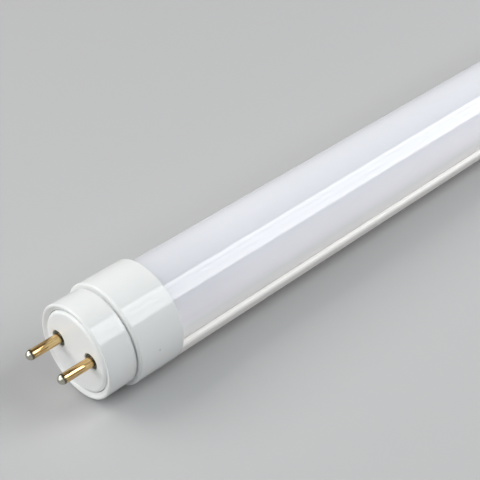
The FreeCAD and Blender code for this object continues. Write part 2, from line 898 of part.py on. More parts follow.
def check(pieces):
    """Stop if the document has an object in error or a piece has no valid solid."""
    for item in lamp.Objects:
        if "Invalid" in item.State or "Error" in item.State:
            raise ValueError(f"{item.Label} is {item.State}")
    for piece in pieces:
        if piece.Shape.isNull() or not piece.Shape.isValid() or not piece.Shape.Solids:
            raise ValueError(f"{piece.Label} has no valid solid")


def write(pieces):
    os.makedirs("parts", exist_ok=True)
    for piece in pieces:
        piece.Shape.exportStep(os.path.join("parts", f"{piece.Label}.step"))
        print(f"{piece.Label}: {len(piece.Shape.Solids)} solids, {piece.Shape.Volume:.1f} cubic mm")


pieces = build_lamp()
lamp.recompute()
check(pieces)
write(pieces)
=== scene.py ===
"""Looks of an LED tube lamp with bi-pin end caps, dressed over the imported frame."""

import logging
import math
from dataclasses import dataclass
from enum import Enum
from typing import Iterable, Optional, Sequence

import bmesh
import bpy
from bmesh.types import BMEdge, BMesh, BMFace, BMVert
from bpy.types import Material, NodeSocket, Object
from mathutils import Matrix, Vector


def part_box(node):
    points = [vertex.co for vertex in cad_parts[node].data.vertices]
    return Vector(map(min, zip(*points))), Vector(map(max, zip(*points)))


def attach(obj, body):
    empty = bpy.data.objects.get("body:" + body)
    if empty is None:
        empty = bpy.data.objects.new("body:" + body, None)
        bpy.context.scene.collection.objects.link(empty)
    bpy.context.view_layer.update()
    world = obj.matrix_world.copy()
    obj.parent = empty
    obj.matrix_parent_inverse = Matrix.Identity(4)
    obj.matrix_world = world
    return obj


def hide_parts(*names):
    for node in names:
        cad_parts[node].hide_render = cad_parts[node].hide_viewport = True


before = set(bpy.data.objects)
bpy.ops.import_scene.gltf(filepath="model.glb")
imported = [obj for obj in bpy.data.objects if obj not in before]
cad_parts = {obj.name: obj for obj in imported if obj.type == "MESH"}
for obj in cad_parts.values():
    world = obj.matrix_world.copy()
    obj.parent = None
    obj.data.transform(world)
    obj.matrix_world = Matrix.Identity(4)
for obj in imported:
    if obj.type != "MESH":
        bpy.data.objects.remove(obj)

Colour = tuple[float, float, float]
Place = tuple[float, float, float]
Range = tuple[float, float]
Spot = tuple[float, float]

BODY = "root"
BLACK: Colour = (0.0, 0.0, 0.0)
MM = 0.001

# Points closer than this are one, in metres.
TOUCH = 1e-6
# Edges that turn further than this are shaded sharp.
SHARP_ANGLE = math.radians(38)
# The rounding of an edge that is only just broken.
EDGE_BREAK = 0.1 * MM
# The room between a collar's end and the base's.
COLLAR_GAP = 0.1 * MM
# Where most of a noise's values lie.
BULK: Range = (0.3, 0.7)

log = logging.getLogger("tube_lamp")


class End(Enum):
    """The two ends of the lamp."""

    FRONT = "front"
    REAR = "rear"


class Side(Enum):
    """The two pins of an end, and the way each lies from the middle."""

    LEFT = 1
    RIGHT = -1


@dataclass(frozen=True)
class Corner:
    """A corner of a turned outline.

    Attributes:
        along: How far along the axis it lies, in metres.
        out: How far out from the axis it lies, in metres.
        rounding: The radius that the corner is rounded to, in metres.
    """

    along: float
    out: float
    rounding: float = 0.0


@dataclass(frozen=True)
class Places:
    """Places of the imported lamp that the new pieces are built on, in metres.

    Attributes:
        axis: The height of the tube's axis.
        face: How far each cap's face is from the middle.
        collar_radius: The radius of the caps' collars.
        cap_end: How deep the collars reach from the caps' faces.
        base_radius: The radius of the base's outside.
        base_half: Half the base's length.
        cover_radius: The radius of the cover's outside.
        cover_half: Half the cover's length.
        pin_offset: How far each pin is from the middle.
        pin_raise: How far the pins lie above the axis.
    """

    axis: float
    face: float
    collar_radius: float
    cap_end: float
    base_radius: float
    base_half: float
    cover_radius: float
    cover_half: float
    pin_offset: float
    pin_raise: float

    @classmethod
    def from_frame(cls) -> "Places":
        """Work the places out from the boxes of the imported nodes.

        Returns:
            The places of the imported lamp.
        """
        cap_low, cap_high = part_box("end_cap_front")
        base_low, base_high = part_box("base_profile")
        _, cover_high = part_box("diffuser")
        pin_low, pin_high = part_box("pin_front_left")
        axis = (cap_low.z + cap_high.z) / 2
        return cls(
            axis=axis,
            face=-cap_low.x,
            collar_radius=(cap_high.z - cap_low.z) / 2,
            cap_end=base_low.x - cap_low.x - COLLAR_GAP,
            base_radius=axis - base_low.z,
            base_half=base_high.x,
            cover_radius=cover_high.z - axis,
            cover_half=cover_high.x,
            pin_offset=(pin_low.y + pin_high.y) / 2,
            pin_raise=(pin_low.z + pin_high.z) / 2 - axis,
        )


class Nodes:
    """A node tree, with short methods for the nodes that the finishes and the room use."""

    def __init__(self, tree: bpy.types.NodeTree, place: str) -> None:
        """Start in a tree.

        Args:
            tree: The tree to add nodes to.
            place: The texture coordinate that its patterns lie on.
        """
        self.nodes, self.links = tree.nodes, tree.links
        self.place = self.nodes.new("ShaderNodeTexCoord").outputs[place]

    def feed(self, socket: NodeSocket, value: object) -> None:
        """Link the socket where the value is an output, and set it otherwise.

        Args:
            socket: The socket to feed.
            value: Another node's output, or a plain value.
        """
        if isinstance(value, NodeSocket):
            self.links.new(value, socket)
        elif socket.type == "RGBA":
            socket.default_value = (*value, 1.0)
        else:
            socket.default_value = value

    def split(self) -> tuple[NodeSocket, NodeSocket, NodeSocket]:
        """Give the three parts of the place.

        Returns:
            The outputs for X, Y and Z.
        """
        node = self.nodes.new("ShaderNodeSeparateXYZ")
        self.links.new(self.place, node.inputs[0])
        return node.outputs[0], node.outputs[1], node.outputs[2]

    def work(self, operation: str, *values: object) -> NodeSocket:
        """Work a number out of others.

        Args:
            operation: The name of the Math node's operation.
            *values: One or two outputs or numbers.

        Returns:
            The result's output.
        """
        node = self.nodes.new("ShaderNodeMath")
        node.operation = operation
        for socket, value in zip(node.inputs, values):
            self.feed(socket, value)
        return node.outputs[0]

    def noise(self, scale: float, detail: float, stretch: Place = (1.0, 1.0, 1.0)) -> NodeSocket:
        """Make an even noise over the object.

        Args:
            scale: How many cells there are to a metre.
            detail: How many finer layers it has.
            stretch: The scale's factor along each axis.

        Returns:
            The noise's output, from 0 to 1.
        """
        mapping = self.nodes.new("ShaderNodeMapping")
        self.links.new(self.place, mapping.inputs["Vector"])
        mapping.inputs["Scale"].default_value = stretch
        node = self.nodes.new("ShaderNodeTexNoise")
        self.links.new(mapping.outputs[0], node.inputs["Vector"])
        node.inputs["Scale"].default_value = scale
        node.inputs["Detail"].default_value = detail
        return node.outputs[0]

    def ramp(self, value: NodeSocket, stops: Sequence[tuple[float, Colour]]) -> NodeSocket:
        """Turn a number into a colour that eases from one stop to the next.

        Args:
            value: The number, from 0 to 1.
            stops: Each stop's place and colour.

        Returns:
            The colour's output.
        """
        node = self.nodes.new("ShaderNodeValToRGB")
        node.color_ramp.interpolation = "EASE"
        elements = node.color_ramp.elements
        while len(elements) < len(stops):
            elements.new(0.5)
        for element, (place, colour) in zip(elements, stops):
            element.position = place
            element.color = (*colour, 1.0)
        self.links.new(value, node.inputs[0])
        return node.outputs[0]

    def spread(self, value: NodeSocket, low: float, high: float, start: float = 0.0,
               finish: float = 1.0) -> NodeSocket:
        """Map a range of numbers to another, with a smooth start and finish.

        Args:
            value: The number to map.
            low: Where the range starts.
            high: Where the range ends.
            start: What its start becomes.
            finish: What its end becomes.

        Returns:
            The mapped number's output.
        """
        node = self.nodes.new("ShaderNodeMapRange")
        node.interpolation_type = "SMOOTHSTEP"
        self.links.new(value, node.inputs["Value"])
        for name, number in (("From Min", low), ("From Max", high), ("To Min", start), ("To Max", finish)):
            node.inputs[name].default_value = number
        return node.outputs[0]

    def mix(self, share: object, first: object, second: object) -> NodeSocket:
        """Mix two colours.

        Args:
            share: How much of the second there is, from 0 to 1.
            first: The first colour.
            second: The second colour.

        Returns:
            The mixed colour's output.
        """
        node = self.nodes.new("ShaderNodeMix")
        node.data_type = "RGBA"
        self.feed(node.inputs["Factor"], share)
        self.feed(node.inputs[6], first)
        self.feed(node.inputs[7], second)
        return node.outputs[2]

    def seeing_rays(self) -> NodeSocket:
        """Make a mask that is 1 for the rays that see the backdrop: the camera's, mirrored and transmitted ones.

        Returns:
            The mask's output.
        """
        path = self.nodes.new("ShaderNodeLightPath")
        mask = path.outputs["Is Camera Ray"]
        for ray in ("Is Glossy Ray", "Is Transmission Ray"):
            mask = self.work("MAXIMUM", mask, path.outputs[ray])
        return mask


class Shader(Nodes):
    """The nodes of a material with a Principled surface."""

    def __init__(self, name: str) -> None:
        """Start a material.

        Args:
            name: The material's name.
        """
        self.material = bpy.data.materials.new(name)
        self.material.use_nodes = True
        super().__init__(self.material.node_tree, "Object")
        self.surface = self.nodes["Principled BSDF"]

    def settle(self, values: dict[str, object]) -> None:
        """Feed sockets of the surface.

        Args:
            values: Each socket's name and value, which is an output only where it varies over the surface.
        """
        for name, value in values.items():
            self.feed(self.surface.inputs[name], value)

    def bump(self, height: NodeSocket, depth: float, strength: float) -> None:
        """Give the surface a relief.

        Args:
            height: The relief, from 0 to 1.
            depth: The relief's full depth in metres.
            strength: How much of it shows.
        """
        node = self.nodes.new("ShaderNodeBump")
        node.inputs["Distance"].default_value = depth
        node.inputs["Strength"].default_value = strength
        self.links.new(height, node.inputs["Height"])
        self.links.new(node.outputs[0], self.surface.inputs["Normal"])


@dataclass(frozen=True)
class MouldedPlastic:
    """Glossy moulded plastic with a faint orange-peel skin.

    Attributes:
        name: The material's name.
        colour: Its colour.
        shade: The slightly different colour that it drifts to.
        roughness: How rough its gloss is.
        speck: Where a small dark speck sits, if there is one.
        speck_colour: The speck's colour.
        speck_rim: Between which distances from its middle the speck fades.
        speck_share: How much the speck covers at its middle.
        dust: How much the fine dust covers.
        dust_tone: How dark the dust is beside the shade.
        uneven: How much smoother and rougher than said the gloss gets.
    """

    name: str
    colour: Colour
    shade: Colour
    roughness: float
    speck: Optional[Place] = None
    speck_colour: Colour = (0.30, 0.30, 0.29)
    speck_rim: Range = (0.1 * MM, 0.5 * MM)
    speck_share: float = 0.35
    dust: float = 0.12
    dust_tone: float = 0.7
    uneven: Range = (0.015, 0.03)

    def make(self) -> Material:
        """Make the material.

        Returns:
            The new material.
        """
        shader = Shader(self.name)
        colour = shader.mix(shader.noise(scale=90.0, detail=2.0), self.colour, self.shade)
        dust = shader.spread(shader.noise(scale=2600.0, detail=1.0), low=0.76, high=0.84, finish=self.dust)
        colour = shader.mix(dust, colour, tuple(part * self.dust_tone for part in self.shade))
        if self.speck:
            colour = shader.mix(self.speck_mask(shader), colour, self.speck_colour)
        smoother, rougher = self.uneven
        rough = shader.spread(shader.noise(scale=400.0, detail=4.0), *BULK, self.roughness - smoother,
                              self.roughness + rougher)
        shader.settle({"Base Color": colour, "Roughness": rough, "IOR": 1.40, "Subsurface Weight": 0.15,
                       "Subsurface Scale": 0.8 * MM, "Subsurface Radius": (1.0, 0.9, 0.8)})
        shader.bump(shader.noise(scale=700.0, detail=2.0), depth=0.01 * MM, strength=0.2)
        return shader.material

    def speck_mask(self, shader: Shader) -> NodeSocket:
        """Make a mask of the speck.

        Args:
            shader: The material's nodes.

        Returns:
            The mask's output.
        """
        node = shader.nodes.new("ShaderNodeVectorMath")
        node.operation = "DISTANCE"
        shader.links.new(shader.place, node.inputs[0])
        node.inputs[1].default_value = self.speck
        return shader.spread(node.outputs["Value"], *self.speck_rim, self.speck_share, 0.0)


@dataclass(frozen=True)
class MilkyPlastic:
    """Milky extruded plastic, with painted light and shade: lighter sides, shade near the caps, and bands where the
    rails show softly through the wall.

    Attributes:
        places: The lamp's places, from which its bands are worked out.
        name: The material's name.
        colour: The colour of the cover's top, darker than the sides' painted light.
        side: The colour of its sides, painted lighter than the top for the light from within that shows more there.
        rise: Between which heights over the axis the sides' painted light turns into the top's colour.
        cap_shade: How much of its brightness is left near the caps: painted shade, where less light gets in behind.
        cap_shade_reach: How far from the caps the painted shade reaches.
        rail: The colour where a rail lies behind the wall: painted light, as if the white rail showed through.
        gap_shadow: The colour of the soft line above the rail: a painted shadow of the gap behind the wall.
        groove: The colour where the wall goes down into its groove: painted shade, a little darker than the rail's
            light.
        bands_low: How far below the axis the painted bands of rail light, gap shadow and groove shade start.
        bands_high: How high the bands are together; each one's share of it is said where they are made.
        bands_fade: Between which heights over the axis the bands fade out.
    """

    places: Places
    name: str = "milky_plastic"
    colour: Colour = (0.765, 0.765, 0.81)
    side: Colour = (0.96, 0.92, 0.985)
    rise: Range = (2.0 * MM, 10.5 * MM)
    cap_shade: float = 0.92
    cap_shade_reach: float = 34 * MM
    rail: Colour = (1.0, 0.96, 0.965)
    gap_shadow: Colour = (0.94, 0.92, 0.94)
    groove: Colour = (0.985, 0.94, 0.945)
    bands_low: float = 5.2 * MM
    bands_high: float = 8.0 * MM
    bands_fade: Range = (0.4 * MM, 2.4 * MM)

    def make(self) -> Material:
        """Make the material.

        Returns:
            The new material.
        """
        shader = Shader(self.name)
        along, _, height = shader.split()
        from_cap = shader.work("SUBTRACT", self.places.face - self.places.cap_end, shader.work("ABSOLUTE", along))
        above = shader.work("SUBTRACT", height, self.places.axis)
        # Painted light: the sides lighter than the top, as if light from within showed more there.
        rise = shader.spread(above, *self.rise)
        # Painted shade near the caps, where less light gets in behind the wall.
        cap_shaded = (tuple(part * self.cap_shade for part in whole) for whole in (self.side, self.colour))
        colour = shader.mix(shader.spread(from_cap, 0.0, self.cap_shade_reach), shader.mix(rise, *cap_shaded),
                            shader.mix(rise, self.side, self.colour))
        # Painted bands below the axis: light where a rail lies behind the wall, a painted shadow line above it,
        # painted shade at the groove.
        bands = shader.work("DIVIDE", shader.work("ADD", above, self.bands_low), self.bands_high)
        behind = shader.ramp(bands, (
            (0.00, self.groove), (0.20, self.groove), (0.30, self.rail), (0.50, self.rail),
            (0.64, self.gap_shadow), (0.70, self.gap_shadow), (0.86, self.side),
        ))
        colour = shader.mix(shader.spread(above, *self.bands_fade, 1.0, 0.0), colour, behind)
        shader.settle({"Base Color": colour, "Roughness": 0.06, "IOR": 1.5, "Subsurface Weight": 0.35,
                       "Subsurface Scale": 1.5 * MM, "Subsurface Radius": (1.0, 1.0, 1.0)})
        streaks = shader.noise(scale=3000.0, detail=2.0, stretch=(0.0006, 1.0, 1.0))
        shader.bump(streaks, depth=0.02 * MM, strength=0.12)
        return shader.material


@dataclass(frozen=True)
class PaintedExtrusion:
    """Satin white paint on an aluminium extrusion, with faint die lines along it.

    Attributes:
        name: The material's name.
        colour: Its colour.
        shade: The slightly different colour of the die lines.
        scuff: The colour of its faint scuffs.
        scuff_share: How much a scuff covers.
        roughness: How smooth and how rough it gets.
    """

    name: str = "painted_extrusion"
    colour: Colour = (0.955, 0.915, 0.885)
    shade: Colour = (0.915, 0.88, 0.855)
    scuff: Colour = (0.78, 0.775, 0.765)
    scuff_share: float = 0.25
    roughness: Range = (0.32, 0.42)

    def make(self) -> Material:
        """Make the material.

        Returns:
            The new material.
        """
        shader = Shader(self.name)
        lines = shader.noise(scale=1400.0, detail=3.0, stretch=(0.006, 1.0, 1.0))
        patches = shader.noise(scale=160.0, detail=5.0, stretch=(0.2, 1.0, 1.0))
        colour = shader.mix(shader.spread(patches, low=0.66, high=0.76, finish=self.scuff_share),
                            shader.mix(lines, self.colour, self.shade), self.scuff)
        shader.settle({"Base Color": colour, "Roughness": shader.spread(lines, *BULK, *self.roughness),
                       "IOR": 1.5, "Coat Weight": 0.08, "Coat Roughness": 0.15})
        shader.bump(lines, depth=0.015 * MM, strength=0.3)
        return shader.material


@dataclass(frozen=True)
class TurnedBrass:
    """Brass pins, nickel bright at their domed tips, with a painted dark reflection ring where the nickel starts and
    painted shade at the flange in its seat.

    Attributes:
        places: The lamp's places, from which the tips are worked out.
        reach: How far the pins stand out from the caps' faces.
        name: The material's name.
        brass: The colour of the shank.
        drawn: The darker colour of the fine lines along it.
        nickel: The colour of the tips.
        nickel_start: Between which distances back from the tip the brass turns into nickel.
        painted_reflection_and_shade: The colour of the painted dark reflection at the ring where the nickel starts,
            and of the painted shade on the flange in its seat.
        ring_back: How far back from the tip the ring is.
        ring_fade: Between which distances from its middle the ring fades.
        ring_share: How much the ring covers at its middle.
        root: Between which distances out from the cap's face the painted shade of the flange and the pin's root ends.
        roughness: How smooth and how rough it gets.
    """

    places: Places
    reach: float
    name: str
    brass: Colour = (0.80, 0.60, 0.30)
    drawn: Colour = (0.52, 0.33, 0.14)
    nickel: Colour = (0.50, 0.48, 0.41)
    nickel_start: Range = (1.6 * MM, 0.9 * MM)
    painted_reflection_and_shade: Colour = (0.14, 0.125, 0.085)
    ring_back: float = 1.3 * MM
    ring_fade: Range = (0.15 * MM, 0.5 * MM)
    ring_share: float = 0.95
    root: Range = (-0.1 * MM, 0.25 * MM)
    roughness: Range = (0.10, 0.20)

    def make(self) -> Material:
        """Make the material.

        Returns:
            The new material.
        """
        shader = Shader(self.name)
        along, _, _ = shader.split()
        out = shader.work("SUBTRACT", shader.work("ABSOLUTE", along), self.places.face)
        lines = shader.spread(shader.noise(scale=3200.0, detail=3.0, stretch=(0.07, 1.0, 1.0)), low=0.42, high=0.58)
        tip = shader.spread(out, *(self.reach - back for back in self.nickel_start))
        colour = shader.mix(tip, shader.mix(lines, self.brass, self.drawn), self.nickel)
        # Painted dark reflection: a dark ring where the nickel starts.
        from_ring = shader.work("ABSOLUTE", shader.work("SUBTRACT", out, self.reach - self.ring_back))
        colour = shader.mix(shader.spread(from_ring, *self.ring_fade, self.ring_share, 0.0), colour, self.painted_reflection_and_shade)
        # Painted shade on the flange in its seat and at the pin's root.
        colour = shader.mix(shader.spread(out, *self.root, 1.0, 0.0), colour, self.painted_reflection_and_shade)
        wear = shader.noise(scale=2200.0, detail=3.0, stretch=(0.2, 1.0, 1.0))
        shader.settle({"Base Color": colour, "Metallic": 1.0,
                       "Roughness": shader.spread(wear, *BULK, *self.roughness)})
        turning = shader.noise(scale=9000.0, detail=1.0, stretch=(1.0, 0.02, 0.02))
        shader.bump(turning, depth=0.004 * MM, strength=0.4)
        return shader.material


@dataclass(frozen=True)
class InnerFinish:
    """The finish of a piece inside the lamp.

    Attributes:
        name: The material's name.
        colour: Its colour.
        shade: The colour that it drifts to.
        roughness: How rough it is.
        grain: How many cells its drift has to a metre.
        uneven: How much smoother and rougher it gets, as a share of its roughness.
    """

    name: str
    colour: Colour
    shade: Colour
    roughness: float = 0.5
    grain: float = 600.0
    uneven: float = 0.15

    def make(self) -> Material:
        """Make the material.

        Returns:
            The new material.
        """
        shader = Shader(self.name)
        grain = shader.noise(self.grain, detail=3.0)
        rough = shader.spread(grain, *BULK, self.roughness * (1 - self.uneven), self.roughness * (1 + self.uneven))
        shader.settle({"Base Color": shader.mix(grain, self.colour, self.shade), "Roughness": rough})
        shader.bump(grain, depth=0.02 * MM, strength=0.3)
        return shader.material


def verts_of(items: Iterable[object]) -> list[BMVert]:
    """Pick the vertices out of what an operator gives back."""
    return [item for item in items if isinstance(item, BMVert)]


def turn_outline(corners: Sequence[Corner], steps: int, segments: int = 6) -> BMesh:
    """Turn an outline, rounded at its corners, about the X axis into a closed solid.

    Args:
        corners: The outline's corners, in order.
        steps: How many steps the full turn has.
        segments: How many steps each rounding has.

    Returns:
        The turned mesh.
    """
    mesh = bmesh.new()
    verts = [mesh.verts.new((corner.along, 0.0, corner.out)) for corner in corners]
    mesh.faces.new(verts)
    for vert, corner in zip(verts, corners):
        if corner.rounding > 0:
            bmesh.ops.bevel(mesh, geom=[vert], offset=corner.rounding, offset_type="OFFSET", segments=segments,
                            profile=0.5, affect="VERTICES", material=-1)
    bmesh.ops.delete(mesh, geom=list(mesh.faces), context="FACES_ONLY")
    on_axis = [edge for edge in mesh.edges if all(abs(vert.co.z) < TOUCH for vert in edge.verts)]
    bmesh.ops.delete(mesh, geom=on_axis, context="EDGES")
    bmesh.ops.spin(mesh, geom=list(mesh.verts) + list(mesh.edges), cent=(0, 0, 0), axis=(1, 0, 0),
                   dvec=(0, 0, 0), angle=math.tau, steps=steps, use_merge=True)
    bmesh.ops.remove_doubles(mesh, verts=list(mesh.verts), dist=TOUCH)
    bmesh.ops.recalc_face_normals(mesh, faces=list(mesh.faces))
    return mesh


def set_down(mesh: BMesh, name: str, place: Place, turned: bool = False) -> Object:
    """Make an object of a mesh drawn about the X axis, with its place in its mesh.

    Args:
        mesh: The mesh, which is used up.
        name: The object's name.
        place: Where its origin goes.
        turned: Whether it faces the other way along the lamp.

    Returns:
        The new object.
    """
    turn = Matrix.Rotation(math.pi if turned else 0.0, 4, "Z")
    bmesh.ops.transform(mesh, matrix=Matrix.Translation(place) @ turn, verts=list(mesh.verts))
    for face in mesh.faces:
        face.smooth = True
    for edge in mesh.edges:
        edge.smooth = edge.is_manifold and edge.calc_face_angle(0.0) < SHARP_ANGLE
    data = bpy.data.meshes.new(name)
    mesh.to_mesh(data)
    mesh.free()
    piece = bpy.data.objects.new(name, data)
    bpy.context.scene.collection.objects.link(piece)
    weighted = piece.modifiers.new("even_shading", "WEIGHTED_NORMAL")
    weighted.keep_sharp = True
    return piece


def dress(piece: Object, material: Material, node: str) -> None:
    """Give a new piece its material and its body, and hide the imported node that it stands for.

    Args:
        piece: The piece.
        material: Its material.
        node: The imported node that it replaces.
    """
    piece.data.materials.append(material)
    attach(piece, BODY)
    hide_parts(node)
    log.info("%s: %d faces", piece.name, len(piece.data.polygons))


@dataclass
class EndCap:
    """A moulded cap with its pin plate and two pins.

    Attributes:
        places: The lamp's places.
        end: Which end it closes.
        nose_radius: The radius of the nose.
        nose_round: The rounding of the nose's outer edge.
        lip_radius: The inner radius of the nose's lip.
        lip_round: The rounding of the lip's inner edge.
        dish_depth: How deep the dish inside the lip goes.
        plate_bore: The radius of the bore that the plate sits in.
        shoulder_depth: Where the collar starts, from the face.
        shoulder_round: The rounding of the collar's shoulder.
        seam: How wide and deep the seam at the foot of the shoulder is.
        stop_depth: Where the cover stops inside, from the face.
        collar_bore: The radius of the collar's inside.
        collar_round: The rounding of the collar's open end.
        plate_radius: The radius of the pin plate.
        plate_round: The rounding of the plate's rim.
        plate_thickness: The plate's thickness.
        seat_radius: The radius of the seat round each pin.
        seat_round: The rounding of the seat's edge.
        seat_depth: The seat's depth.
        pin_radius: The radius of the pins.
        pin_reach: How far the pins stand out from the face.
        pin_dome: The rounding of a pin's tip, as a share of its radius.
        flange_radius: The radius of a pin's flange.
        flange_front: Where the flange starts, from the face.
        tail_radius: The radius of a pin's tail.
        tail_round: The rounding of the tail's end.
        tail_end: How deep a pin's tail reaches from the face.
    """

    places: Places
    end: End
    nose_radius: float = 13.38 * MM
    nose_round: float = 0.5 * MM
    lip_radius: float = 12.65 * MM
    lip_round: float = 0.2 * MM
    dish_depth: float = 0.7 * MM
    plate_bore: float = 11.6 * MM
    shoulder_depth: float = 9.1 * MM
    shoulder_round: float = 0.6 * MM
    seam: float = 0.5 * MM
    stop_depth: float = 11.6 * MM
    collar_bore: float = 12.85 * MM
    collar_round: float = 0.3 * MM
    plate_radius: float = 11.5 * MM
    plate_round: float = 1.0 * MM
    plate_thickness: float = 2.0 * MM
    seat_radius: float = 2.3 * MM
    seat_round: float = 0.12 * MM
    seat_depth: float = 0.7 * MM
    pin_radius: float = 1.38 * MM
    pin_reach: float = 9.9 * MM
    pin_dome: float = 0.985
    flange_radius: float = 2.15 * MM
    flange_front: float = 0.25 * MM
    tail_radius: float = 1.0 * MM
    tail_round: float = 0.15 * MM
    tail_end: float = 8.0 * MM

    @property
    def turned(self) -> bool:
        """Whether it faces +X."""
        return self.end is End.REAR

    def at(self, y: float = 0.0, raised: float = 0.0) -> Place:
        """Give the place of the cap's face, or of a point on it beside the axis."""
        return (self.places.face if self.turned else -self.places.face, y, self.places.axis + raised)

    def shell(self, material: Material) -> None:
        """Turn the cap's own shell.

        Args:
            material: Its material.
        """
        depth, radius = self.places.cap_end, self.places.collar_radius
        foot, seam_radius = self.shoulder_depth - self.seam, self.nose_radius - self.seam
        mesh = turn_outline((
            Corner(0.0, self.lip_radius, self.lip_round),
            Corner(0.0, self.nose_radius, self.nose_round),
            Corner(foot, self.nose_radius, EDGE_BREAK),
            Corner(foot, seam_radius),
            Corner(self.shoulder_depth, seam_radius),
            Corner(self.shoulder_depth, radius, self.shoulder_round),
            Corner(depth, radius, self.collar_round),
            Corner(depth, self.collar_bore, EDGE_BREAK),
            Corner(self.stop_depth, self.collar_bore),
            Corner(self.stop_depth, self.plate_bore),
            Corner(self.dish_depth, self.plate_bore, EDGE_BREAK),
        ), steps=160)
        piece = set_down(mesh, f"cap_shell_{self.end.value}", self.at(), self.turned)
        dress(piece, material, f"end_cap_{self.end.value}")

    def plate(self, material: Material) -> None:
        """Make the pin plate, with a round seat sunk in it for each pin.

        Args:
            material: Its material.
        """
        mesh = turn_outline((
            Corner(0.0, 0.0),
            Corner(0.0, self.plate_radius, self.plate_round),
            Corner(self.plate_thickness, self.plate_radius, EDGE_BREAK),
            Corner(self.plate_thickness, 0.0),
        ), steps=120)
        front = [face for face in mesh.faces if all(abs(vert.co.x) < TOUCH for vert in face.verts)]
        bmesh.ops.delete(mesh, geom=front, context="FACES")
        rim = [edge for edge in mesh.edges if edge.is_boundary]
        seats = []
        for side in Side:
            where = Matrix.Translation((0.0, side.value * self.places.pin_offset, self.places.pin_raise))
            ring = bmesh.ops.create_circle(mesh, cap_ends=False, segments=56, radius=self.seat_radius,
                                           matrix=where @ Matrix.Rotation(math.pi / 2, 4, "Y"))
            seats.append(list({edge for vert in ring["verts"] for edge in vert.link_edges}))
        rings = [edge for seat in seats for edge in seat]
        bmesh.ops.triangle_fill(mesh, use_beauty=True, use_dissolve=False, edges=rim + rings)
        inside = [face for face in mesh.faces if self.in_seat(face)]
        bmesh.ops.delete(mesh, geom=inside, context="FACES_ONLY")
        for seat in seats:
            wall = bmesh.ops.extrude_edge_only(mesh, edges=seat)["geom"]
            low = verts_of(wall)
            bmesh.ops.translate(mesh, verts=low, vec=(self.seat_depth, 0.0, 0.0))
            floor = [item for item in wall if isinstance(item, BMEdge) and all(vert in low for vert in item.verts)]
            bmesh.ops.edgeloop_fill(mesh, edges=floor)
        bmesh.ops.recalc_face_normals(mesh, faces=list(mesh.faces))
        bmesh.ops.bevel(mesh, geom=rings, offset=self.seat_round, offset_type="OFFSET", segments=2, profile=0.5,
                        affect="EDGES", material=-1)
        piece = set_down(mesh, f"cap_plate_{self.end.value}", self.at(), self.turned)
        dress(piece, material, f"pin_plate_{self.end.value}")

    def in_seat(self, face: BMFace) -> bool:
        """Say whether a face of the plate's front lies inside a pin's seat.

        Args:
            face: The face.

        Returns:
            Whether its middle lies in a seat.
        """
        middle = face.calc_center_median()
        across = abs(abs(middle.y) - self.places.pin_offset)
        above = middle.z - self.places.pin_raise
        return abs(middle.x) < TOUCH and math.hypot(across, above) < self.seat_radius

    def pin(self, side: Side, material: Material) -> None:
        """Turn a pin with a domed tip, a flange in its seat and a tail.

        Args:
            side: Which of the two pins it is.
            material: Its material.
        """
        radius, flange = self.pin_radius, self.flange_radius
        mesh = turn_outline((
            Corner(-self.pin_reach, 0.0),
            Corner(-self.pin_reach, radius, radius * self.pin_dome),
            Corner(self.flange_front, radius, EDGE_BREAK),
            Corner(self.flange_front, flange, EDGE_BREAK),
            Corner(self.seat_depth, flange),
            Corner(self.seat_depth, self.tail_radius),
            Corner(self.tail_end, self.tail_radius, self.tail_round),
            Corner(self.tail_end, 0.0),
        ), steps=64, segments=14)
        y = side.value * self.places.pin_offset
        word = f"{self.end.value}_{side.name.lower()}"
        place = self.at(-y if self.turned else y, self.places.pin_raise)
        dress(set_down(mesh, f"contact_{word}", place, self.turned), material, f"pin_{word}")

    def build(self, shell: Material, plate: Material, brass: Material) -> None:
        """Build the cap's pieces.

        Args:
            shell: The shell's material.
            plate: The plate's material.
            brass: The pins' material.
        """
        self.shell(shell)
        self.plate(plate)
        for side in Side:
            self.pin(side, brass)


